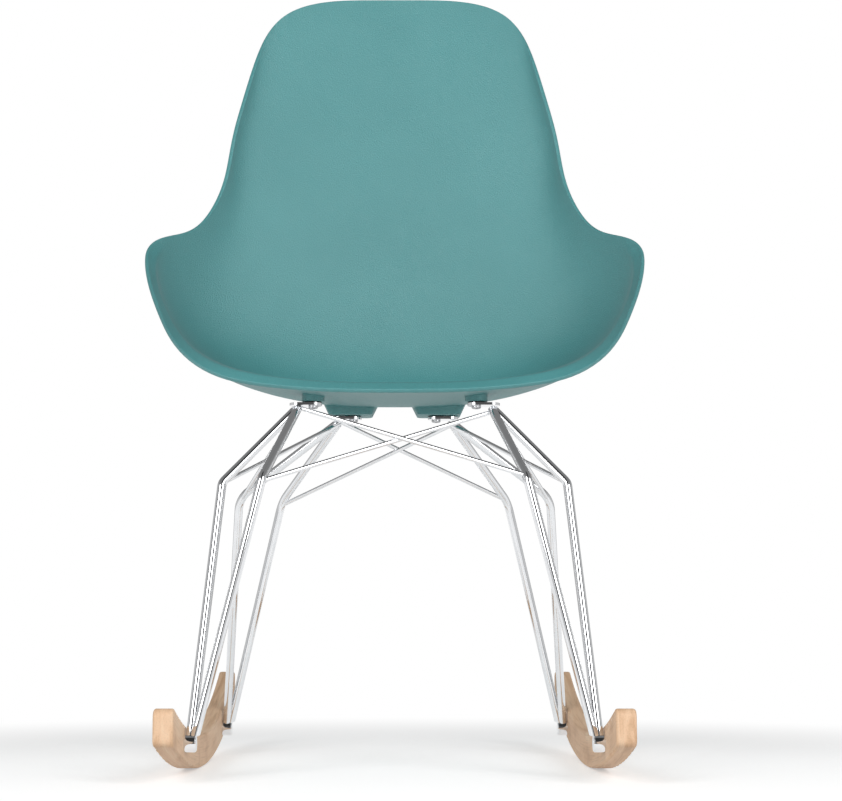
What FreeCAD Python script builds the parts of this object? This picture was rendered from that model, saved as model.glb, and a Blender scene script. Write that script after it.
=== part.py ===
"""Rocking chair: a moulded bucket shell on a wire base with two curved wooden runners.

Millimetres.  +X is to the sitter's left, +Y to the rear, +Z up.  The origin is on the
floor, on the centre plane, under the middle of the four feet, where the runners touch.
"""
import FreeCAD, Part
import math
import os

from FreeCAD import Vector

# ---- runners -------------------------------------------------------------------------
RUNNER_RADIUS = 980.0       # rolling radius of the underside
RUNNER_HEIGHT = 38.0        # from underside to top face
RUNNER_THICKNESS = 21.0
RUNNER_INNER_X = 219.5      # inner face from the centre plane
RUNNER_FRONT = 277.0        # reach in front of the origin
RUNNER_REAR = 350.0         # reach behind it
RUNNER_EDGE = 3.0           # rounding of the long edges
RUNNER_CORNER = 9.0         # rounding of the ends, seen from the side

# ---- feet ----------------------------------------------------------------------------
FOOT_Y = 189.0              # feet in front of and behind the origin
FOOT_Z = {"front": 37.0, "rear": 33.0}
FOOT_RADIUS = 9.0
FOOT_LENGTH = 12.5
FOOT_CHAMFER = 1.2
FOOT_BOLT_RADIUS = 3.0
FOOT_BOLT_CLEARANCE = 0.1
FOOT_BOLT_HEAD_RADIUS = 5.5
FOOT_BOLT_HEAD_HEIGHT = 5.0
FOOT_BOLT_RECESS = 7.0      # depth of the counterbore in the runner's outer face
FOOT_BOLT_GRIP = 8.5        # thread reaching into the foot
WOOD_HOLE_CLEARANCE = 0.4

# ---- wire base -----------------------------------------------------------------------
ROD_RADIUS = 5.0
BRACE_RADIUS = 2.5
ROD_RUNNER_GAP = 0.5        # between a leg's outer rod and its runner
ROD_FOOT_SPREAD = 3.5       # between the two rods' centre lines at the foot
KNEE_DROP = 92.5            # knees below the tabs' underside
OUTER_KNEE = (192.7, 101.0)     # x, y of the knee beside the seat
INNER_KNEE = (143.7, 157.5)     # x, y of the knee in front of it, or behind it
FRONT_BEND = 14.0           # bend radius on a rod's centre line
REAR_BEND = 34.0
APEX_Y = 60.0
FRONT_APEX_X = 110.6
REAR_APEX_X = 67.5
APEX_Z = 411.5              # underside of the mounting tabs
ROD_APEX_DROP = 4.5         # rod centre lines end this far under the tabs
ROD_APEX_SPREAD = 3.5       # and this far each side of the apex
BRACE_LIFT = 2.7            # crossing braces pass this far over and under each other
BRACE_REACH = 2.0           # braces run this far past a rod's centre line before trimming

# ---- mounting tabs and their screws --------------------------------------------------
TAB_THICKNESS = 3.0
TAB_WIDTH = 20.0
TAB_LENGTH = 17.0           # from apex to screw
WASHER_THICKNESS = 1.5
WASHER_RADIUS = 9.5
SCREW_FACE_Z = APEX_Z + TAB_THICKNESS + WASHER_THICKNESS    # where the shell's bosses end
SCREW_RADIUS = 3.0
SCREW_CLEARANCE = 0.4
SCREW_HEAD_RADIUS = 5.5
SCREW_HEAD_HEIGHT = 3.3
SCREW_SOCKET = 4.0          # across flats
SCREW_SOCKET_DEPTH = 2.0
SCREW_GRIP = 5.5            # thread in the insert
INSERT_RADIUS = 4.5
INSERT_LENGTH = 6.5
THREAD_CLEARANCE = 0.05
BOSS_RADIUS = 13.0          # round bosses over the front screws
PAD_INNER_X = 27.0          # rear pads: their lower face runs between these two
PAD_OUTER_X = 80.0
PAD_DEPTH = 38.0            # front to back
PAD_DRAFT = 0.5             # how far the ends slope outwards for each unit of height
BOSS_STOCK = 60.0           # posts this tall are cut off where they meet the shell

# ---- shell ---------------------------------------------------------------------------
SHELL_WALL = 6.0
# Control rows of the outer surface from the front lip to the top of the back.
# Each row: spine (y, z) on the centre plane, then edge (x, y, z) at the side, with z
# above the plane of the four screw faces.
SHELL_ROWS = (
    ((-250, -12), (229, -256, 50)),         # front lip
    ((-221, -10), (253, -191, 107)),
    ((-129, 1), (268, -102, 155)),          # seat
    ((-29, 4), (288, -33, 184)),
    ((61, 8), (299, 10, 216)),              # arm rest
    ((122, 27), (285, 48, 226)),
    ((156, 84), (248, 96, 237)),            # shoulder
    ((171, 184), (215, 122, 314)),
    ((181, 304), (214, 138, 384)),          # back
    ((194, 444), (187, 152, 469)),
    ((206, 585), (175, 170, 572)),          # top
)
# How a cross-section runs from spine to edge, as shares of its width and depth.
FLAT_FRONT, FLAT_BACK = 0.52, 0.50          # flat part beside the spine
WALL_RISE_FRONT, WALL_RISE_BACK = 0.33, 0.42    # where the side wall starts to stand up
# Rim in the surface's own directions: u from 0.5 at the spine to 1 at the edge, v from lip to top.
LIP_FLAT = 0.279            # half of the lip's straight stretch
LIP_CORNER_END = 0.64       # where the front corners run into the sides
LIP_POWERS = (2.634, 2.352)
TOP_CORNER_START = 0.881    # where the sides run into the top corners
TOP_POWERS = (5.02, 3.67)
CORNER_TURN, TOP_TURN = 0.5, 0.5     # where the patch's own corners lie on the rim
PATCH_STEPS = (24, 32)      # across and along
# The rim of the lip and arm rests turns away from the sitter, up to the shoulders.
FLANGE_WIDTH = 13.0
FLANGE_TURN = 35.0          # degrees
FLANGE_FADE = (0.36, 0.50)  # it fades out between these shares of the way up

SIDES = {"left": 1, "right": -1}
ENDS = {"front": -1, "rear": 1}
UP = Vector(0, 0, 1)


def cylinder(start, direction, radius, length):
    return Part.makeCylinder(radius, length, start, direction)


# ---- shell surface -------------------------------------------------------------------
def share(first, last, row):
    return first + (last - first) * row / (len(SHELL_ROWS) - 1)


def shell_net():
    """Seven poles across for each row, mirrored about the centre plane."""
    net = []
    lift = Vector(0, 0, SCREW_FACE_Z)
    for row, ((cy, cz), (ex, ey, ez)) in enumerate(SHELL_ROWS):
        flat = share(FLAT_FRONT, FLAT_BACK, row)
        rise = share(WALL_RISE_FRONT, WALL_RISE_BACK, row)
        half = [lift + Vector(a * ex, cy + b * (ey - cy), cz + b * (ez - cz))
                for a, b in ((0, 0), (flat, 0), (1, rise), (1, 1))]
        net.append([Vector(-p.x, p.y, p.z) for p in half[:0:-1]] + half)
    return net


def spline_surface(net):
    surface = Part.BSplineSurface()

    def knots(count):
        spans = count - 3
        return [i / spans for i in range(spans + 1)], [4] + [1] * (spans - 1) + [4]

    v_knots, v_mults = knots(len(net))
    u_knots, u_mults = knots(len(net[0]))
    poles = [list(column) for column in zip(*net)]
    surface.buildFromPolesMultsKnots(poles, u_mults, v_mults, u_knots, v_knots,
                                     False, False, 3, 3)
    return surface


def offset_net(net, surface, distance):
    """The net moved along the surface's own normals, towards the sitter."""
    def greville(i, count):
        spans = count - 3
        knots = [min(max(k, 0), spans) / spans for k in (i - 2, i - 1, i)]
        return min(max(sum(knots) / 3, 0.001), 0.999)

    moved = []
    for j, row in enumerate(net):
        v = greville(j, len(net))
        moved.append([p + surface.normal(greville(i, len(row)), v) * distance
                      for i, p in enumerate(row)])
    return moved


def lip_corner(angle):
    """Rim round a front corner: angle 0 where the lip stops being straight, 90 at the side."""
    a, b = LIP_POWERS
    reach = 0.5 - LIP_FLAT
    return (LIP_FLAT + reach * math.sin(angle) ** (2 / a),
            LIP_CORNER_END * (1 - math.cos(angle) ** (2 / b)))


def top_corner(angle):
    """Rim round a top corner: angle 0 at the side, 90 at the middle of the top."""
    a, b = TOP_POWERS
    return (0.5 * math.cos(angle) ** (2 / a),
            TOP_CORNER_START + (1 - TOP_CORNER_START) * math.sin(angle) ** (2 / b))


def even_steps(points, count):
    """The same path cut into steps of equal length."""
    path = Part.makePolygon([Vector(u, v, 0) for u, v in points])
    return path.discretize(Number=count + 1)


def rim_sides(steps_u, steps_v):
    """Lip, side and top of the right half rim's loop, as even steps between corner points."""
    quarter = math.pi / 2
    fine = [i / 60 * quarter for i in range(61)]
    lip = [lip_corner(t) for t in fine if t <= CORNER_TURN * quarter]
    side = ([lip_corner(t) for t in fine if t >= CORNER_TURN * quarter]
            + [top_corner(t) for t in fine if t <= TOP_TURN * quarter])
    top = [top_corner(t) for t in fine if t >= TOP_TURN * quarter]
    lip = [(-u, v) for u, v in reversed(lip)] + lip
    top = [(-u, v) for u, v in top] + list(reversed(top))
    return (even_steps(lip, steps_u), even_steps(side, steps_v), even_steps(top, steps_u))


def shell_grid():
    """Points (u, v) all over the shell, in rows that follow its rim."""
    nu, nv = PATCH_STEPS
    low, right, high = rim_sides(nu, nv)
    grid = []
    for i in range(nu + 1):
        s = i / nu
        column = []
        for j in range(nv + 1):
            t = j / nv
            r = right[j]
            left = Vector(-r.x, r.y, 0)
            corners = (low[0] * (1 - s) * (1 - t) + low[nu] * s * (1 - t)
                       + high[0] * (1 - s) * t + high[nu] * s * t)
            column.append(low[i] * (1 - t) + high[i] * t + left * (1 - s) + r * s - corners)
        grid.append(column)
    return grid


def flange_turn(v):
    """The flange's angle, in radians, at a point of the rim."""
    first, last = FLANGE_FADE
    t = min(max((v - first) / (last - first), 0), 1)
    return math.radians(FLANGE_TURN) * (1 - t * t * (3 - 2 * t))


def rim_point(outer, grid, i, j, height):
    """The flange's edge beside a point of the rim, that far above its outer skin."""
    last_i, last_j = len(grid) - 1, len(grid[0]) - 1

    def place(a, b):
        return outer.value(0.5 + grid[a][b].x, grid[a][b].y)

    if j in (0, last_j):
        tangent = place(min(i + 1, last_i), j) - place(max(i - 1, 0), j)
    else:
        tangent = place(i, j + 1) - place(i, j - 1)
    here = grid[i][j]
    normal = outer.normal(0.5 + here.x, here.y)
    inwards = normal.cross(tangent).normalize()
    middle = place(last_i // 2, min(max(j, 2), last_j - 2))
    if inwards.dot(middle - place(i, j)) < 0:
        inwards = -inwards
    turn = flange_turn(here.y)
    edge = (place(i, j) + inwards * (FLANGE_WIDTH * (1 - math.cos(turn)))
            - normal * (FLANGE_WIDTH * math.sin(turn)))
    return edge + (normal * math.cos(turn) - inwards * math.sin(turn)) * height


def moulded_skin(surface, outer, grid, height):
    """A skin through the grid's points, with its edges on the flange's."""
    last_i, last_j = len(grid) - 1, len(grid[0]) - 1
    points = []
    for i, column in enumerate(grid):
        points.append([rim_point(outer, grid, i, j, height)
                       if i in (0, last_i) or j in (0, last_j)
                       else surface.value(0.5 + p.x, p.y)
                       for j, p in enumerate(column)])
    skin = Part.BSplineSurface()
    skin.interpolate(points)
    return skin.toShape()


def bare_shell():
    net = shell_net()
    outer = spline_surface(net)
    inner = spline_surface(offset_net(net, outer, SHELL_WALL))
    grid = shell_grid()
    skins = [moulded_skin(surface, outer, grid, height)
             for surface, height in ((outer, 0), (inner, SHELL_WALL))]
    rim = [Part.makeRuledSurface(a, b) for a, b in zip(skins[0].Edges, skins[1].Edges)]
    shell = Part.makeShell(skins + rim)
    shell.sewShape()
    return Part.makeSolid(shell)


# ---- where things meet ---------------------------------------------------------------
def apex(side, end):
    x = FRONT_APEX_X if end == "front" else REAR_APEX_X
    return Vector(SIDES[side] * x, ENDS[end] * APEX_Y, APEX_Z)


def screw_place(side, end):
    """On the tab's underside, a tab's length from the apex towards the centre plane."""
    return apex(side, end) - Vector(SIDES[side] * TAB_LENGTH, 0, 0)


def foot_place(side, end):
    """Middle of the foot's face against the runner."""
    return Vector(SIDES[side] * RUNNER_INNER_X, ENDS[end] * FOOT_Y, FOOT_Z[end])


def knee(side, end, which):
    x, y = OUTER_KNEE if which == "outer" else INNER_KNEE
    return Vector(SIDES[side] * x, ENDS[end] * y, APEX_Z - KNEE_DROP)


def inwards(side):
    return Vector(-SIDES[side], 0, 0)


# ---- shell with its mounting bosses ----------------------------------------------------
def boss_face(side, end):
    place = screw_place(side, end)
    return Vector(place.x, place.y, SCREW_FACE_Z)


def front_post(side):
    return cylinder(boss_face(side, "front"), UP, BOSS_RADIUS, BOSS_STOCK)


def rear_post(side):
    """Long pad whose ends slope outwards as they rise."""
    face = boss_face(side, "rear")
    sign = SIDES[side]
    flare = PAD_DRAFT * BOSS_STOCK
    outline = [(PAD_INNER_X, 0), (PAD_OUTER_X, 0), (PAD_OUTER_X + flare, BOSS_STOCK),
               (PAD_INNER_X - flare, BOSS_STOCK), (PAD_INNER_X, 0)]
    corners = [Vector(sign * x, face.y - PAD_DEPTH / 2, face.z + z) for x, z in outline]
    return Part.Face(Part.makePolygon(corners)).extrude(Vector(0, PAD_DEPTH, 0))


def seat_shell():
    bare = bare_shell()
    shell = bare
    for side in SIDES:
        for post in (front_post(side), rear_post(side)):
            boss = min(post.cut(bare).Solids, key=lambda part: part.CenterOfMass.z)
            shell = shell.fuse(boss)
    for side in SIDES:
        for end in ENDS:
            shell = shell.cut(cylinder(boss_face(side, end), UP, INSERT_RADIUS, INSERT_LENGTH))
    return shell.Solids[0]


def thread_inserts():
    inserts = []
    for side in SIDES:
        for end in ENDS:
            face = boss_face(side, end)
            body = cylinder(face, UP, INSERT_RADIUS, INSERT_LENGTH)
            inserts.append(body.cut(cylinder(face, UP, SCREW_RADIUS + THREAD_CLEARANCE,
                                             INSERT_LENGTH)))
    return Part.makeCompound(inserts)


# ---- tabs, washers and seat screws -----------------------------------------------------
def mounting_tab(side, end):
    """Flat round-ended plate from a leg's apex to its screw."""
    outer, inner = apex(side, end), screw_place(side, end)
    radius = TAB_WIDTH / 2
    corner = Vector(min(outer.x, inner.x), outer.y - radius, outer.z)
    plate = Part.makeBox(TAB_LENGTH, TAB_WIDTH, TAB_THICKNESS, corner)
    for end_point in (outer, inner):
        plate = plate.fuse(cylinder(end_point, UP, radius, TAB_THICKNESS))
    plate = plate.removeSplitter()
    return plate.cut(cylinder(inner, UP, SCREW_RADIUS + SCREW_CLEARANCE, TAB_THICKNESS))


def mount_washers():
    rings = []
    for side in SIDES:
        for end in ENDS:
            base = screw_place(side, end) + Vector(0, 0, TAB_THICKNESS)
            ring = cylinder(base, UP, WASHER_RADIUS, WASHER_THICKNESS)
            rings.append(ring.cut(cylinder(base, UP, SCREW_RADIUS + SCREW_CLEARANCE,
                                           WASHER_THICKNESS)))
    return Part.makeCompound(rings)


def hexagon(place, direction, across_flats, length):
    radius = across_flats / math.sqrt(3)
    corners = [Vector(radius * math.cos(k * math.pi / 3), radius * math.sin(k * math.pi / 3), 0)
               for k in range(7)]
    prism = Part.Face(Part.makePolygon(corners)).extrude(Vector(0, 0, length))
    prism.Placement = FreeCAD.Placement(place, FreeCAD.Rotation(UP, direction))
    return prism


def seat_screws():
    screws = []
    for side in SIDES:
        for end in ENDS:
            tab_face = screw_place(side, end)
            head_face = tab_face - Vector(0, 0, SCREW_HEAD_HEIGHT)
            head = cylinder(head_face, UP, SCREW_HEAD_RADIUS, SCREW_HEAD_HEIGHT)
            head = head.makeFillet(SCREW_HEAD_HEIGHT / 2, [lowest_edge(head)])
            head = head.cut(hexagon(head_face, UP, SCREW_SOCKET, SCREW_SOCKET_DEPTH))
            length = TAB_THICKNESS + WASHER_THICKNESS + SCREW_GRIP
            screws.append(head.fuse(cylinder(tab_face, UP, SCREW_RADIUS, length)))
    return Part.makeCompound(screws)


def lowest_edge(shape):
    rings = [edge for edge in shape.Edges if isinstance(edge.Curve, Part.Circle)]
    return min(rings, key=lambda edge: edge.CenterOfMass.z)


# ---- rods and braces ---------------------------------------------------------------------
def bent_rod(start, corner, finish, bend):
    """Round rod along two straight runs joined by a tangent arc."""
    before, after = (start - corner).normalize(), (finish - corner).normalize()
    half = before.getAngle(after) / 2
    setback = bend / math.tan(half)
    middle = (before + after).normalize()
    arc_start, arc_end = corner + before * setback, corner + after * setback
    arc_top = corner + middle * (bend / math.sin(half) - bend)
    path = Part.Wire([Part.makeLine(start, arc_start),
                      Part.Arc(arc_start, arc_top, arc_end).toShape(),
                      Part.makeLine(arc_end, finish)])
    section = Part.Wire(Part.makeCircle(ROD_RADIUS, start, corner - start))
    return path.makePipeShell([section], True, False)


def leg_rod_line(side, end, which):
    """Foot, knee and apex of a rod's centre line."""
    reach = ROD_RUNNER_GAP + ROD_RADIUS + (0 if which == "outer" else ROD_FOOT_SPREAD)
    foot = foot_place(side, end) + inwards(side) * reach
    top = apex(side, end) - Vector(0, 0, ROD_APEX_DROP)
    towards = knee(side, end, which) - top
    towards.z = 0
    return foot, knee(side, end, which), top + towards.normalize() * ROD_APEX_SPREAD


def leg_rod(side, end, which):
    bend = FRONT_BEND if end == "front" else REAR_BEND
    return bent_rod(*leg_rod_line(side, end, which), bend)


def straight_brace(start, finish):
    along = (finish - start).normalize()
    start, finish = start - along * BRACE_REACH, finish + along * BRACE_REACH
    return cylinder(start, along, BRACE_RADIUS, (finish - start).Length)


def on_bend(side, end, which):
    """The middle of the knee's bend, where a brace is welded."""
    foot, corner, top = leg_rod_line(side, end, which)
    bend = FRONT_BEND if end == "front" else REAR_BEND
    before, after = (foot - corner).normalize(), (top - corner).normalize()
    half = before.getAngle(after) / 2
    return corner + (before + after).normalize() * (bend / math.sin(half) - bend)


def side_brace(side, end):
    """From an outer knee to the apex of the other leg on the same side."""
    other = "rear" if end == "front" else "front"
    return straight_brace(on_bend(side, end, "outer"),
                          apex(side, other) - Vector(0, 0, ROD_APEX_DROP))


def cross_brace(side, end):
    """From an inner knee under the seat to the same leg's apex on the other side."""
    other = "right" if side == "left" else "left"
    lift = Vector(0, 0, BRACE_LIFT * SIDES[side])
    return straight_brace(on_bend(side, end, "inner") + lift,
                          apex(other, end) - Vector(0, 0, ROD_APEX_DROP) + lift)


# ---- feet ----------------------------------------------------------------------------------
def foot_blank(side, end):
    return cylinder(foot_place(side, end), inwards(side), FOOT_RADIUS, FOOT_LENGTH)


def foot_standoff(side, end):
    face = foot_place(side, end)
    body = foot_blank(side, end)
    far = max(body.Edges, key=lambda edge: abs(edge.CenterOfMass.x - face.x))
    body = body.makeChamfer(FOOT_CHAMFER, [far])
    hole = cylinder(face, inwards(side), FOOT_BOLT_RADIUS + FOOT_BOLT_CLEARANCE,
                    FOOT_BOLT_GRIP + 1)
    return body.cut(hole)


def foot_bolts():
    bolts = []
    for side in SIDES:
        for end in ENDS:
            face = foot_place(side, end)
            seat = face - inwards(side) * (RUNNER_THICKNESS - FOOT_BOLT_RECESS)
            top = seat - inwards(side) * FOOT_BOLT_HEAD_HEIGHT
            head = cylinder(top, inwards(side), FOOT_BOLT_HEAD_RADIUS, FOOT_BOLT_HEAD_HEIGHT)
            head = head.cut(hexagon(top, inwards(side), SCREW_SOCKET, SCREW_SOCKET_DEPTH))
            length = RUNNER_THICKNESS - FOOT_BOLT_RECESS + FOOT_BOLT_GRIP
            bolts.append(head.fuse(cylinder(seat, inwards(side), FOOT_BOLT_RADIUS, length)))
    return Part.makeCompound(bolts)


# ---- runners ---------------------------------------------------------------------------------
def runner_z(y, radius):
    """Height of the concentric arc of this radius at a distance from the origin."""
    return RUNNER_RADIUS - math.sqrt(radius ** 2 - y ** 2)


def runner(side):
    inner_radius = RUNNER_RADIUS - RUNNER_HEIGHT

    def arc(radius):
        points = [Vector(0, y, runner_z(y, radius)) for y in (-RUNNER_FRONT, 0, RUNNER_REAR)]
        return Part.Arc(*points).toShape(), points[0], points[2]

    under, low_front, low_rear = arc(RUNNER_RADIUS)
    over, high_front, high_rear = arc(inner_radius)
    outline = Part.Wire(Part.__sortEdges__([under, Part.makeLine(low_rear, high_rear), over,
                                            Part.makeLine(high_front, low_front)]))
    x = RUNNER_INNER_X if SIDES[side] > 0 else -RUNNER_INNER_X - RUNNER_THICKNESS
    board = Part.Face(outline).extrude(Vector(RUNNER_THICKNESS, 0, 0))
    ends = [edge for edge in board.Edges if abs(edge.tangentAt(edge.FirstParameter).x) > 0.9]
    board = board.makeFillet(RUNNER_CORNER, ends)
    long_edges = [edge for edge in board.Edges if abs(edge.tangentAt(edge.FirstParameter).x) < 0.1]
    board = board.makeFillet(RUNNER_EDGE, long_edges)
    board.translate(Vector(x, 0, 0))
    for end in ENDS:
        face = foot_place(side, end)
        out = inwards(side) * -1
        board = board.cut(cylinder(face, out, FOOT_BOLT_RADIUS + WOOD_HOLE_CLEARANCE,
                                   RUNNER_THICKNESS))
        seat = face + out * (RUNNER_THICKNESS - FOOT_BOLT_RECESS)
        board = board.cut(cylinder(seat, out, FOOT_BOLT_HEAD_RADIUS + WOOD_HOLE_CLEARANCE,
                                   FOOT_BOLT_RECESS))
    return board


# ---- the whole chair ---------------------------------------------------------------------------
def trimmed(shape, *neighbours):
    """The shape's largest piece once its neighbours have been cut away."""
    for other in neighbours:
        shape = shape.cut(other)
    return max(shape.Solids, key=lambda part: part.Volume)


def chair():
    nodes = {"seat_shell": seat_shell(), "shell_thread_inserts": thread_inserts(),
             "mount_washers": mount_washers(), "seat_screws": seat_screws(),
             "foot_bolts": foot_bolts()}
    for side in SIDES:
        nodes[f"runner_{side}"] = runner(side)
        for end in ENDS:
            tab = mounting_tab(side, end)
            standoff = foot_standoff(side, end)
            above = Part.makeBox(2 * BOSS_STOCK, 2 * BOSS_STOCK, BOSS_STOCK,
                                 apex(side, end) - Vector(BOSS_STOCK, BOSS_STOCK, 0))
            reach = Vector(FOOT_LENGTH, 0, 0)
            foot = foot_blank(side, end)
            below = foot.fuse([foot.translated(reach), foot.translated(-reach)])
            outer = trimmed(leg_rod(side, end, "outer"), below, above)
            inner = trimmed(leg_rod(side, end, "inner"), below, above, outer)
            nodes[f"mounting_tab_{end}_{side}"] = tab
            nodes[f"foot_standoff_{end}_{side}"] = standoff
            nodes[f"leg_rod_{end}_{side}_outer"] = outer
            nodes[f"leg_rod_{end}_{side}_inner"] = inner
    rods = [shape for name, shape in nodes.items() if name.startswith("leg_rod")]
    braces = []
    for side in SIDES:
        for end in ENDS:
            for kind, make in (("side", side_brace), ("cross", cross_brace)):
                above = Part.makeBox(4 * BOSS_STOCK, 4 * BOSS_STOCK, BOSS_STOCK,
                                     Vector(-2 * BOSS_STOCK, -2 * BOSS_STOCK, APEX_Z))
                brace = trimmed(make(side, end), above, *rods, *braces)
                braces.append(brace)
                nodes[f"{kind}_brace_{end}_{side}"] = brace
    return nodes


os.makedirs("parts", exist_ok=True)
for name, shape in chair().items():
    shape.exportStep(f"parts/{name}.step")
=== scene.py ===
"""Looks of the rocking chair: moulded bucket shell, bright wire base, two oak runners.

Metres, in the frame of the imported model: +X to the sitter's left, +Y to the rear, +Z up.
"""
import math

import bpy
import numpy as np
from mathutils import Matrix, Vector

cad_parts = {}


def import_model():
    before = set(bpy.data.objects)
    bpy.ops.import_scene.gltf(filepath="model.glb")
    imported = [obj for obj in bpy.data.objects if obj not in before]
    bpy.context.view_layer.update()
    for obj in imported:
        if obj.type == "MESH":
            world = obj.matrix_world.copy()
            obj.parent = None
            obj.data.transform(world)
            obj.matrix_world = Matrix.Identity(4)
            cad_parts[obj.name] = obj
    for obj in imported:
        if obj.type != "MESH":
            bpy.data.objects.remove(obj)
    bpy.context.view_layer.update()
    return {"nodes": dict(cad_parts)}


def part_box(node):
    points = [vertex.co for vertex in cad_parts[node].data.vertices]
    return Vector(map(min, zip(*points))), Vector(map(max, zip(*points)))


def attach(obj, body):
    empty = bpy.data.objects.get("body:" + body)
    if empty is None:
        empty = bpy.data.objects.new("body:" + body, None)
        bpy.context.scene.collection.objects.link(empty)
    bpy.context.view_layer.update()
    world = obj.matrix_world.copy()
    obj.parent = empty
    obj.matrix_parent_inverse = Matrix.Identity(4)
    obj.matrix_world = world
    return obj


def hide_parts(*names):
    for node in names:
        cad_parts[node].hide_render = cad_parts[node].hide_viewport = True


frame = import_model()
nodes = frame["nodes"]
SIDES = {"left": 1, "right": -1}
ENDS = ("front", "rear")

# ---- shell: the same moulding as the CAD's, in metres ------------------------------------
WALL = 0.006
SHELL_ROWS = (                  # (y, z) of the spine, then (x, y, z) of the edge, front to top
    ((-0.250, 0.404), (0.229, -0.256, 0.466)),
    ((-0.221, 0.406), (0.253, -0.191, 0.523)),
    ((-0.129, 0.417), (0.268, -0.102, 0.571)),
    ((-0.029, 0.420), (0.288, -0.033, 0.600)),
    ((0.061, 0.424), (0.299, 0.010, 0.632)),
    ((0.122, 0.443), (0.285, 0.048, 0.642)),
    ((0.156, 0.500), (0.248, 0.096, 0.653)),
    ((0.171, 0.600), (0.215, 0.122, 0.730)),
    ((0.181, 0.720), (0.214, 0.138, 0.800)),
    ((0.194, 0.860), (0.187, 0.152, 0.885)),
    ((0.206, 1.001), (0.175, 0.170, 0.988)),
)
FLAT_FRONT, FLAT_BACK = 0.52, 0.50              # share of the half-width left flat
WALL_RISE_FRONT, WALL_RISE_BACK = 0.33, 0.42    # share of the height where the wall turns up
LIP_FLAT = 0.279                # the lip runs straight this far, in u, from the middle
LIP_CORNER_END = 0.64           # v where the lip's corner ends
LIP_POWERS = (2.634, 2.352)     # exponents of its superellipse
TOP_CORNER_START = 0.881        # v where the top's corner starts
TOP_POWERS = (5.02, 3.67)
CORNER_TURN, TOP_TURN = 0.5, 0.5    # shares of those corners where the mesh's patches meet
FLANGE_WIDTH = 0.0145           # the rim turns away from the sitter over this width
FLANGE_BEND = 0.003             # along which its bend is spread
FLANGE_TURN = 35.0              # degrees
FLANGE_FADE = (0.36, 0.50)      # the turn fades out between these shares of the way up
NOSE_ROUND = 0.0034             # rounding of the rim's outer corner
NOSE_EDGE = 0.0008              # and of its inner one
INSET = 0.018                   # where the rim's strips give way to the skin
RIM_STRIPS = (FLANGE_WIDTH - INSET, -0.002, 0.0, 0.0008, 0.0016, 0.0024, 0.0032, 0.006, 0.0095)
NOSE_START = 0.0125             # the inner skin's last ring before the nose
NOSE_STEPS = 7
MESH_STEPS = (84, 150)          # across and along


def basis(t, count):
    """Clamped uniform cubic B-spline weights, first axis over the poles."""
    spans = count - 3
    knots = np.concatenate([[0] * 3, np.linspace(0, 1, spans + 1), [1] * 3])
    t = np.clip(t, 0, 1 - 1e-9)
    weights = [((t >= a) & (t < b)).astype(float) for a, b in zip(knots, knots[1:])]
    for degree in (1, 2, 3):
        raised = []
        for i in range(len(weights) - 1):
            left, right = knots[i + degree] - knots[i], knots[i + degree + 1] - knots[i + 1]
            term = 0 * t
            if left > 0:
                term = term + (t - knots[i]) / left * weights[i]
            if right > 0:
                term = term + (knots[i + degree + 1] - t) / right * weights[i + 1]
            raised.append(term)
        weights = raised
    return np.array(weights)


def shell_net():
    net = []
    last = len(SHELL_ROWS) - 1
    for row, ((cy, cz), (ex, ey, ez)) in enumerate(SHELL_ROWS):
        flat = FLAT_FRONT + (FLAT_BACK - FLAT_FRONT) * row / last
        rise = WALL_RISE_FRONT + (WALL_RISE_BACK - WALL_RISE_FRONT) * row / last
        half = [(a * ex, cy + b * (ey - cy), cz + b * (ez - cz))
                for a, b in ((0, 0), (flat, 0), (1, rise), (1, 1))]
        net.append([(-x, y, z) for x, y, z in half[:0:-1]] + half)
    return np.array(net)


NET = shell_net()


def outer_skin(u, v):
    across, along = basis(u, NET.shape[1]), basis(v, NET.shape[0])
    return np.einsum("j...,i...,jik->...k", along, across, NET)


def unit(vectors):
    return vectors / np.linalg.norm(vectors, axis=-1, keepdims=True)


def slopes(u, v):
    """The skin's two derivatives."""
    step = 1e-4
    u, v = np.clip(u, step, 1 - step), np.clip(v, step, 1 - step)
    du = (outer_skin(u + step, v) - outer_skin(u - step, v)) / (2 * step)
    dv = (outer_skin(u, v + step) - outer_skin(u, v - step)) / (2 * step)
    return du, dv


def shell_point(u, v, height):
    """A point that far above the outer skin, towards the sitter."""
    du, dv = slopes(u, v)
    return outer_skin(u, v) + unit(np.cross(du, dv)) * height


def even_steps(points, count):
    points = np.array(points)
    lengths = np.linalg.norm(np.diff(points, axis=0), axis=1)
    run = np.concatenate([[0], np.cumsum(lengths)])
    stops = np.linspace(0, run[-1], count + 1)
    return np.stack([np.interp(stops, run, points[:, k]) for k in (0, 1)], axis=1)


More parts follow.
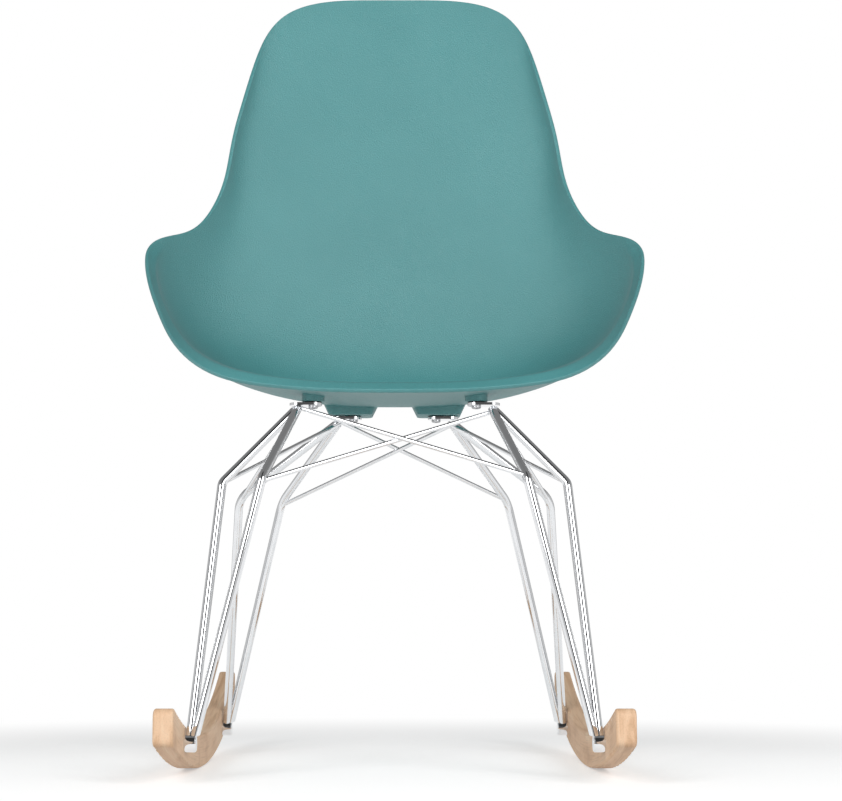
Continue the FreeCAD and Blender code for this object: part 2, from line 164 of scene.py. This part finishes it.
def rim_sides():
    """Lip, right side and top of the rim in (u, v), as even steps between the patch's corners."""
    quarter = math.pi / 2
    fine = np.linspace(0, quarter, 200)

    def lip(angle):
        a, b = LIP_POWERS
        return np.stack([LIP_FLAT + (0.5 - LIP_FLAT) * np.sin(angle) ** (2 / a),
                         LIP_CORNER_END * (1 - np.cos(angle) ** (2 / b))], axis=1)

    def top(angle):
        a, b = TOP_POWERS
        return np.stack([0.5 * np.cos(angle) ** (2 / a),
                         TOP_CORNER_START + (1 - TOP_CORNER_START) * np.sin(angle) ** (2 / b)],
                        axis=1)

    mirror = np.array([-1, 1])
    low = lip(fine[fine <= CORNER_TURN * quarter])
    side = np.concatenate([lip(fine[fine >= CORNER_TURN * quarter]),
                           top(fine[fine <= TOP_TURN * quarter])])
    high = top(fine[fine >= TOP_TURN * quarter])
    low = np.concatenate([low[::-1] * mirror, low])
    high = np.concatenate([high * mirror, high[::-1]])
    steps_u, steps_v = MESH_STEPS
    middle = np.array([0.5, 0])
    right = even_steps(side, steps_v)
    return (even_steps(low, steps_u) + middle, right + middle,
            even_steps(high, steps_u) + middle, right * mirror + middle)


def rim_loop(sides):
    """The four sides joined into one closed loop, anticlockwise from the lip's left corner."""
    low, right, high, left = sides
    return np.concatenate([low[:-1], right[:-1], high[::-1][:-1], left[::-1][:-1]])


def inset_direction(loop):
    """Straight in from the rim: the change of (u, v) per metre, and the direction itself."""
    place = outer_skin(loop[:, 0], loop[:, 1])
    tangent = unit(np.roll(place, -1, axis=0) - np.roll(place, 1, axis=0))
    du, dv = slopes(loop[:, 0], loop[:, 1])
    inwards = np.cross(unit(np.cross(du, dv)), tangent)
    a, b, c = (du * du).sum(1), (du * dv).sum(1), (dv * dv).sum(1)
    p, q = (du * inwards).sum(1), (dv * inwards).sum(1)
    change = np.stack([c * p - b * q, a * q - b * p], axis=1) / (a * c - b * b)[:, None]
    return change, inwards


def flange_turn(v):
    first, last = FLANGE_FADE
    t = np.clip((v - first) / (last - first), 0, 1)
    return math.radians(FLANGE_TURN) * (1 - t * t * (3 - 2 * t))


def flange_line(reach, turn):
    """Distance in from the rim and height, a way out along the flange's outer face."""
    bent = np.clip(reach, 0, FLANGE_BEND)
    beyond = max(reach - FLANGE_BEND, 0)
    before = min(reach, 0)
    safe = np.maximum(turn, 1e-6)
    angle = safe * bent / FLANGE_BEND
    run = before + FLANGE_BEND / safe * np.sin(angle) + beyond * np.cos(turn)
    drop = FLANGE_BEND / safe * (1 - np.cos(angle)) + beyond * np.sin(turn)
    return FLANGE_WIDTH - run, -drop, turn * bent / FLANGE_BEND


def rim_profile():
    """(way out along the flange, height above its outer face), from outer to inner skin."""
    quarter = np.linspace(0, math.pi / 2, NOSE_STEPS)
    profile = [(a, 0.0) for a in RIM_STRIPS]
    profile += [(FLANGE_WIDTH - NOSE_ROUND * (1 - math.sin(t)), NOSE_ROUND * (1 - math.cos(t)))
                for t in quarter]
    profile += [(FLANGE_WIDTH - NOSE_EDGE * (1 - math.cos(t)),
                 WALL - NOSE_EDGE * (1 - math.sin(t))) for t in quarter]
    profile += [(a, WALL) for a in (NOSE_START,) + RIM_STRIPS[::-1]]
    return profile


def rim_ring(loop, change, inwards, reach, height):
    """One ring of points round the rim."""
    distance, drop, turn = flange_line(reach, flange_turn(loop[:, 1]))
    distance = distance - height * np.sin(turn)
    ring = loop + change * np.maximum(distance, 0)[:, None]
    place = shell_point(ring[:, 0], ring[:, 1], (drop + height * np.cos(turn))[:, None])
    return place + inwards * np.minimum(distance, 0)[:, None]


def coons(low, right, high, left):
    """Inner points of a patch whose four sides are given, all sides running up or right."""
    s = np.linspace(0, 1, len(low))[:, None, None]
    t = np.linspace(0, 1, len(right))[None, :, None]
    ruled = (low[:, None] * (1 - t) + high[:, None] * t
             + left[None] * (1 - s) + right[None] * s)
    corners = (low[0] * (1 - s) * (1 - t) + low[-1] * s * (1 - t)
               + high[0] * (1 - s) * t + high[-1] * s * t)
    return ruled - corners


def new_mesh(name, points, faces, smooth=True):
    mesh = bpy.data.meshes.new(name)
    mesh.from_pydata([tuple(p) for p in points], [], faces)
    mesh.validate()
    mesh.update()
    mesh.polygons.foreach_set("use_smooth", [smooth] * len(mesh.polygons))
    piece = bpy.data.objects.new(name, mesh)
    bpy.context.scene.collection.objects.link(piece)
    return piece


def bucket_shell():
    steps_u, steps_v = MESH_STEPS
    loop = rim_loop(rim_sides())
    change, inwards = inset_direction(loop)
    count = len(loop)
    points, faces = [], []
    profile = rim_profile()
    for reach, height in profile:
        points.extend(rim_ring(loop, change, inwards, reach, height))
    rings = len(profile)
    for k in range(rings - 1):
        for i in range(count):
            j = (i + 1) % count
            faces.append((k * count + i, k * count + j, (k + 1) * count + j,
                          (k + 1) * count + i))
    ring = loop + change * INSET
    cuts = np.cumsum([0, steps_u, steps_v, steps_u, steps_v])
    sides = [ring[np.arange(a, b + 1) % count] for a, b in zip(cuts, cuts[1:])]
    inner_uv = coons(sides[0], sides[1], sides[2][::-1], sides[3][::-1])
    for skin, height in ((0, 0.0), (rings - 1, WALL)):
        first = len(points)
        index = np.zeros((steps_u + 1, steps_v + 1), int)
        inside = inner_uv[1:-1, 1:-1]
        places = shell_point(inside[..., 0], inside[..., 1], height)
        points.extend(places.reshape(-1, 3))
        index[1:-1, 1:-1] = first + np.arange(inside[..., 0].size).reshape(inside.shape[:2])
        base = skin * count
        index[:, 0] = base + np.arange(cuts[0], cuts[1] + 1)
        index[-1, :] = base + np.arange(cuts[1], cuts[2] + 1)
        index[::-1, -1] = base + np.arange(cuts[2], cuts[3] + 1)
        index[0, ::-1] = base + np.arange(cuts[3], cuts[4] + 1) % count
        for i in range(steps_u):
            for j in range(steps_v):
                quad = (index[i, j], index[i + 1, j], index[i + 1, j + 1], index[i, j + 1])
                faces.append(quad if skin else quad[::-1])
    return new_mesh("bucket_shell", points, faces)


# ---- pads under the shell --------------------------------------------------------------------
FRONT_BOSS_RADIUS = 0.013
PAD_INNER_X, PAD_OUTER_X = 0.027, 0.080     # a rear pad's lower face
PAD_DEPTH = 0.038
PAD_DRAFT = 0.5                 # its ends slope outwards this much for each unit of height
PAD_EDGE = 0.0012               # rounding of the pads' lower edges
PAD_ROOT = 0.003                # how far a pad's top lies inside the shell's wall
PAD_CORNER = 0.006              # corner radius of a rear pad, seen from below
EDGE_BOW = 0.3                  # where the rounded edge's middle ring lies
ROUND_SHARE = 0.999             # corners' share of a round boss, so that no two points meet
RAY_START = 0.02                # the shell is looked for from this far below the pads
SHARP_ANGLE = 35                # degrees


def solid_of_rings(name, rings):
    """Closed mesh of stacked rings of points, capped at both ends."""
    count = len(rings[0])
    points = [p for ring in rings for p in ring]
    faces = [tuple(range(count))[::-1], tuple(range(len(points) - count, len(points)))]
    for k in range(len(rings) - 1):
        for i in range(count):
            j = (i + 1) % count
            faces.append((k * count + i, k * count + j, (k + 1) * count + j,
                          (k + 1) * count + i))
    return new_mesh(name, points, faces)


def rounded_outline(x0, x1, y0, y1, radius, turns=5):
    """Anticlockwise outline of a rectangle with round corners."""
    outline = []
    corners = ((x1 - radius, y1 - radius, 0), (x0 + radius, y1 - radius, 90),
               (x0 + radius, y0 + radius, 180), (x1 - radius, y0 + radius, 270))
    for cx, cy, start in corners:
        for k in range(turns + 1):
            angle = math.radians(start + 90 * k / turns)
            outline.append((cx + radius * math.cos(angle), cy + radius * math.sin(angle)))
    return outline


def sharpened(piece):
    """Smooth shading that keeps the flat faces flat."""
    piece.data.set_sharp_from_angle(angle=math.radians(SHARP_ANGLE))
    return piece


def shell_pads(shell):
    """Bosses over the front screws and long pads over the rear ones, up to the shell."""
    face_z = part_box("mount_washers")[1].z
    pads = []
    edge = ((PAD_EDGE, 0), (PAD_EDGE * EDGE_BOW, PAD_EDGE * EDGE_BOW), (0, PAD_EDGE))

    def skin_above(x, y):
        hit, place, _, _ = shell.ray_cast((x, y, face_z - RAY_START), (0, 0, 1))
        return place.z + PAD_ROOT if hit else face_z + PAD_EDGE

    for side, sign in SIDES.items():
        for end in ENDS:
            low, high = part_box(f"mounting_tab_{end}_{side}")
            y = (low.y + high.y) / 2
            inner = min(abs(low.x), abs(high.x)) + (high.y - low.y) / 2
            rings = []
            for inset, height in edge:
                if end == "front":
                    r = FRONT_BOSS_RADIUS - inset
                    outline = rounded_outline(-r, r, -r, r, r * ROUND_SHARE, 10)
                    outline = [(sign * inner + px, y + py) for px, py in outline]
                else:
                    outline = rounded_outline(PAD_INNER_X + inset, PAD_OUTER_X - inset,
                                              y - PAD_DEPTH / 2 + inset,
                                              y + PAD_DEPTH / 2 - inset, PAD_CORNER)
                    outline = [(sign * px, py) for px, py in outline]
                rings.append([(px, py, face_z + height) for px, py in outline])
            top = []
            middle = sign * (PAD_INNER_X + PAD_OUTER_X) / 2
            for px, py, pz in rings[-1]:
                slope = 0 if end == "front" else PAD_DRAFT * math.copysign(1, px - middle)
                rise = skin_above(px, py) - pz
                top.append((px + slope * rise, py, skin_above(px + slope * rise, py)))
            rings.append(top)
            if end == "rear" and side == "right":    # mirrored, so it is turned back
                rings = [ring[::-1] for ring in rings]
            pads.append(sharpened(solid_of_rings(f"shell_pad_{end}_{side}", rings)))
    return pads


# ---- materials -----------------------------------------------------------------------------
RUNNER_RADIUS = 0.980           # the runners' rolling radius, which their grain follows


def srgb(red, green, blue):
    """Linear colour of an sRGB one given from 0 to 255."""
    def linear(c):
        c /= 255
        return c / 12.92 if c <= 0.04045 else ((c + 0.055) / 1.055) ** 2.4
    return (linear(red), linear(green), linear(blue), 1)


class Nodes:
    """A short way to add shader nodes and link them."""

    def __init__(self, name):
        self.material = bpy.data.materials.new(name)
        self.material.use_nodes = True
        self.tree = self.material.node_tree
        self.shader = self.tree.nodes["Principled BSDF"]

    def add(self, kind, inputs=None, **settings):
        node = self.tree.nodes.new(kind)
        for key, value in settings.items():
            setattr(node, key, value)
        for key, value in (inputs or {}).items():
            if isinstance(value, bpy.types.NodeSocket):
                self.tree.links.new(value, node.inputs[key])
            else:
                node.inputs[key].default_value = value
        return node

    def to_shader(self, **sockets):
        for key, value in sockets.items():
            name = key.replace("_", " ")
            if isinstance(value, bpy.types.NodeSocket):
                self.tree.links.new(value, self.shader.inputs[name])
            else:
                self.shader.inputs[name].default_value = value

    def place(self, scale=(1, 1, 1)):
        coordinates = self.add("ShaderNodeTexCoord").outputs["Object"]
        return self.add("ShaderNodeMapping", {"Vector": coordinates, "Scale": scale}).outputs[0]

    def noise(self, place, scale, detail=2.0, roughness=0.5, distortion=0.0):
        node = self.add("ShaderNodeTexNoise", {"Vector": place, "Scale": scale, "Detail": detail,
                                               "Roughness": roughness, "Distortion": distortion})
        return node.outputs["Fac"]

    def ramp(self, factor, stops):
        node = self.add("ShaderNodeValToRGB", {"Fac": factor})
        elements = node.color_ramp.elements
        while len(elements) < len(stops):
            elements.new(0.5)
        for element, (position, colour) in zip(elements, stops):
            element.position = position
            element.color = colour
        return node.outputs["Color"]

    def bump(self, height, strength, distance, normal=None):
        inputs = {"Height": height, "Strength": strength, "Distance": distance}
        if normal is not None:
            inputs["Normal"] = normal
        return self.add("ShaderNodeBump", inputs).outputs["Normal"]


def grey(value):
    return (value, value, value, 1)


def moulded_plastic():
    n = Nodes("moulded_plastic")
    place = n.place()
    cloud = n.noise(place, 9, 2)
    colour = n.ramp(cloud, ((0.3, srgb(68, 140, 142)), (0.7, srgb(74, 145, 147))))
    grain = n.noise(place, 700, 3, 0.6)
    rough = n.ramp(grain, ((0.3, grey(0.36)), (0.7, grey(0.48))))
    n.to_shader(Base_Color=colour, Roughness=rough, Specular_IOR_Level=0.85,
                Normal=n.bump(grain, 1.0, 0.0008))
    return n.material


def chrome():
    n = Nodes("chrome_plate")
    place = n.place()
    haze = n.noise(place, 60, 3)
    rough = n.ramp(haze, ((0.3, grey(0.05)), (0.8, grey(0.10))))
    colour = n.ramp(haze, ((0.3, srgb(236, 237, 239)), (0.8, srgb(228, 230, 232))))
    n.to_shader(Base_Color=colour, Metallic=1.0, Roughness=rough,
                Normal=n.bump(haze, 0.05, 0.0002))
    return n.material


def oak():
    """Bent oak: the grain follows the runner's arc, so its coordinates are polar."""
    n = Nodes("oiled_oak")
    place = n.add("ShaderNodeTexCoord").outputs["Object"]
    parts = n.add("ShaderNodeSeparateXYZ", {"Vector": place})
    centre = n.add("ShaderNodeMath", {0: parts.outputs["Z"], 1: RUNNER_RADIUS},
                   operation="SUBTRACT").outputs[0]
    down = n.add("ShaderNodeMath", {0: centre, 1: -1.0}, operation="MULTIPLY").outputs[0]
    angle = n.add("ShaderNodeMath", {0: parts.outputs["Y"], 1: down},
                  operation="ARCTAN2").outputs[0]
    along = n.add("ShaderNodeMath", {0: angle, 1: RUNNER_RADIUS}, operation="MULTIPLY").outputs[0]
    flat = n.add("ShaderNodeCombineXYZ", {"X": 0.0, "Y": parts.outputs["Y"],
                                          "Z": centre}).outputs[0]
    radius = n.add("ShaderNodeVectorMath", {0: flat}, operation="LENGTH").outputs["Value"]
    board = n.add("ShaderNodeCombineXYZ", {"X": parts.outputs["X"], "Y": along,
                                           "Z": radius}).outputs[0]
    stretched = n.add("ShaderNodeMapping", {"Vector": board,
                                            "Scale": (1, 0.07, 0.22)}).outputs[0]
    figure = n.noise(stretched, 130, 3, 0.55, 0.8)
    fine = n.noise(n.add("ShaderNodeMapping", {"Vector": board,
                                               "Scale": (1, 0.025, 1)}).outputs[0], 700, 2, 0.6)
    base = n.ramp(figure, ((0.30, srgb(210, 170, 134)), (0.48, srgb(230, 192, 157)),
                           (0.70, srgb(238, 206, 174))))
    pores = n.ramp(fine, ((0.34, grey(0.88)), (0.48, grey(1.0))))
    colour = n.add("ShaderNodeMix", {0: 1.0, 6: base, 7: pores}, data_type="RGBA",
                   blend_type="MULTIPLY").outputs[2]
    rough = n.ramp(fine, ((0.3, grey(0.62)), (0.7, grey(0.50))))
    n.to_shader(Base_Color=colour, Roughness=rough, Normal=n.bump(fine, 0.25, 0.0003))
    return n.material


def plain_metal(name, dark, light, rough):
    n = Nodes(name)
    haze = n.noise(n.place(), 300, 3)
    n.to_shader(Base_Color=n.ramp(haze, ((0.3, dark), (0.7, light))), Metallic=1.0,
                Roughness=n.ramp(haze, ((0.3, grey(rough)), (0.7, grey(rough + 0.12)))),
                Normal=n.bump(haze, 0.1, 0.0002))
    return n.material


def black_rubber():
    n = Nodes("black_rubber")
    speck = n.noise(n.place(), 500, 3)
    n.to_shader(Base_Color=n.ramp(speck, ((0.3, srgb(24, 24, 25)), (0.7, srgb(38, 38, 39)))),
                Roughness=n.ramp(speck, ((0.3, grey(0.7)), (0.7, grey(0.85)))),
                Normal=n.bump(speck, 0.2, 0.0002))
    return n.material


def between(tree, value, low, high):
    """0 below low, 1 above high, smooth between."""
    node = tree.nodes.new("ShaderNodeMapRange")
    node.interpolation_type = "SMOOTHSTEP"
    tree.links.new(value, node.inputs["Value"])
    node.inputs["From Min"].default_value = low
    node.inputs["From Max"].default_value = high
    return node.outputs["Result"]


def math_node(tree, operation, *values):
    node = tree.nodes.new("ShaderNodeMath")
    node.operation = operation
    for socket, value in zip(node.inputs, values):
        if isinstance(value, bpy.types.NodeSocket):
            tree.links.new(value, socket)
        else:
            socket.default_value = value
    return node.outputs[0]


def floor_material():
    """White to the camera and in reflections, with the object's shadow left in it."""
    n = Nodes("pale_floor")
    soft = n.noise(n.place(), 3, 2)
    paint = n.ramp(soft, ((0.3, grey(0.80)), (0.7, grey(0.82))))
    n.to_shader(Base_Color=paint, Roughness=0.9, Specular_IOR_Level=0.0)
    path = n.add("ShaderNodeLightPath").outputs
    seen = n.add("ShaderNodeMath", {0: path["Is Camera Ray"], 1: path["Is Glossy Ray"]},
                 operation="MAXIMUM").outputs[0]
    glow = n.add("ShaderNodeEmission", {"Color": grey(1.0), "Strength": FLOOR_GLOW})
    both = n.add("ShaderNodeAddShader", {0: n.shader.outputs[0], 1: glow.outputs[0]})
    white = n.add("ShaderNodeEmission", {"Color": grey(1.0), "Strength": 1.0})
    flat = n.add("ShaderNodeVectorMath", {0: n.place()}, operation="LENGTH").outputs["Value"]
    far = between(n.tree, flat, *FLOOR_FADE)
    faded = n.add("ShaderNodeMixShader", {"Fac": far, 1: both.outputs[0], 2: white.outputs[0]})
    mixed = n.add("ShaderNodeMixShader", {"Fac": seen, 1: n.shader.outputs[0],
                                          2: faded.outputs[0]})
    n.tree.links.new(mixed.outputs[0], n.tree.nodes["Material Output"].inputs["Surface"])
    return n.material


# ---- stage ---------------------------------------------------------------------------------
FLOOR_SIZE = 30.0
FLOOR_GLOW = 0.42
FLOOR_FADE = (0.55, 1.25)       # distances over which the floor turns plain white
CAMERA_PLACE = (0.0, -1.9107, 0.1445)
CAMERA_PITCH = 6.5              # degrees above level
FOCAL_PIXELS = 1628.0
FRAME_PIXELS = (842, 801)
PRINCIPAL_PIXELS = (394.75, 454.5)
SENSOR = 36.0                   # millimetres
LIGHT_PLACES = {"left_light": (-1.25, -1.9, 1.25), "right_light": (1.35, -1.8, 1.25)}
LIGHT_TARGET = (0, 0.1, 0.7)
LIGHT_SIZE = (0.9, 1.5)
LIGHT_POWER = 26                # watts
OVERHEAD = (0.15, 0.75)         # heights on the unit sphere between which the studio dims
HORIZON, ZENITH = 0.62, 0.22    # its levels there
GAP = (0.14, 0.24)              # half-width of the dark gap in front, on the unit sphere
GAP_FRONT = (0.2, -0.2)         # y over which that gap sets in
GAP_DIM = 0.85
BACK = (0.55, 0.85)             # y over which the studio dims behind the chair
BACK_DIM = 0.45


def camera():
    data = bpy.data.cameras.new("camera")
    width, height = FRAME_PIXELS
    data.sensor_width = SENSOR
    data.lens = FOCAL_PIXELS / width * SENSOR
    data.shift_x = (width / 2 - PRINCIPAL_PIXELS[0]) / width
    data.shift_y = (PRINCIPAL_PIXELS[1] - height / 2) / width
    data.clip_end = 100
    view = bpy.data.objects.new("camera", data)
    view.location = CAMERA_PLACE
    view.rotation_euler = (math.radians(90 + CAMERA_PITCH), 0, 0)
    bpy.context.scene.collection.objects.link(view)
    bpy.context.scene.camera = view


def floor():
    half = FLOOR_SIZE / 2
    piece = new_mesh("floor", [(-half, -half, 0), (half, -half, 0), (half, half, 0),
                               (-half, half, 0)], [(0, 1, 2, 3)], False)
    piece.data.materials.append(floor_material())


def soft_light(name, place, target, size, power):
    data = bpy.data.lights.new(name, "AREA")
    data.shape = "RECTANGLE"
    data.size, data.size_y = size
    data.energy = power
    lamp = bpy.data.objects.new(name, data)
    lamp.location = place
    direction = Vector(target) - Vector(place)
    lamp.rotation_euler = direction.to_track_quat("-Z", "Y").to_euler()
    lamp.visible_camera = False
    bpy.context.scene.collection.objects.link(lamp)


def world():
    """A pale studio: bright round the horizon, dim overhead, with a dark gap in front."""
    sky = bpy.data.worlds.new("studio")
    bpy.context.scene.world = sky
    sky.use_nodes = True
    tree = sky.node_tree
    path = tree.nodes.new("ShaderNodeLightPath").outputs
    direction = tree.nodes.new("ShaderNodeTexCoord").outputs["Generated"]
    split = tree.nodes.new("ShaderNodeSeparateXYZ")
    tree.links.new(direction, split.inputs[0])
    x, y, z = split.outputs
    overhead = between(tree, z, *OVERHEAD)
    level = math_node(tree, "MULTIPLY_ADD", overhead, ZENITH - HORIZON, HORIZON)
    beside = between(tree, math_node(tree, "ABSOLUTE", x), *GAP)
    front = between(tree, y, *GAP_FRONT)
    gap = math_node(tree, "MULTIPLY", front, math_node(tree, "SUBTRACT", 1.0, beside))
    back = math_node(tree, "MULTIPLY", between(tree, y, *BACK), BACK_DIM)
    hidden = math_node(tree, "MAXIMUM", math_node(tree, "MULTIPLY", gap, GAP_DIM), back)
    hidden = math_node(tree, "MULTIPLY", hidden, path["Is Glossy Ray"])
    level = math_node(tree, "MULTIPLY", level, math_node(tree, "SUBTRACT", 1.0, hidden))
    seen = math_node(tree, "MAXIMUM", path["Is Camera Ray"], path["Is Transmission Ray"])
    ambient = tree.nodes["Background"]
    ambient.inputs["Color"].default_value = grey(1.0)
    tree.links.new(level, ambient.inputs["Strength"])
    white = tree.nodes.new("ShaderNodeBackground")
    white.inputs["Color"].default_value = grey(1.0)
    white.inputs["Strength"].default_value = 1.0
    mix = tree.nodes.new("ShaderNodeMixShader")
    tree.links.new(seen, mix.inputs["Fac"])
    tree.links.new(ambient.outputs[0], mix.inputs[1])
    tree.links.new(white.outputs[0], mix.inputs[2])
    tree.links.new(mix.outputs[0], tree.nodes["World Output"].inputs["Surface"])


bpy.context.scene.view_settings.view_transform = "Standard"
camera()
floor()
world()
for light, light_place in LIGHT_PLACES.items():
    soft_light(light, light_place, LIGHT_TARGET, LIGHT_SIZE, LIGHT_POWER)

# ---- pieces --------------------------------------------------------------------------------
FINISHES = {
    "shell_plastic": moulded_plastic(),
    "chrome_wire": chrome(),
    "runner_oak": oak(),
    "screw_steel": plain_metal("zinc_steel", srgb(170, 172, 175), srgb(205, 206, 208), 0.25),
    "insert_brass": plain_metal("brass", srgb(190, 150, 80), srgb(214, 178, 104), 0.25),
    "washer_rubber": black_rubber(),
}

shell = bucket_shell()
shell.data.materials.append(FINISHES["shell_plastic"])
for pad in shell_pads(shell):
    pad.data.materials.append(FINISHES["shell_plastic"])
    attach(pad, "root")
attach(shell, "root")
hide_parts("seat_shell")
shell.visible_glossy = False    # the wires reflect the studio, not the shell

for node in nodes.values():
    for index, material in enumerate(node.data.materials):
        node.data.materials[index] = FINISHES[material.name]
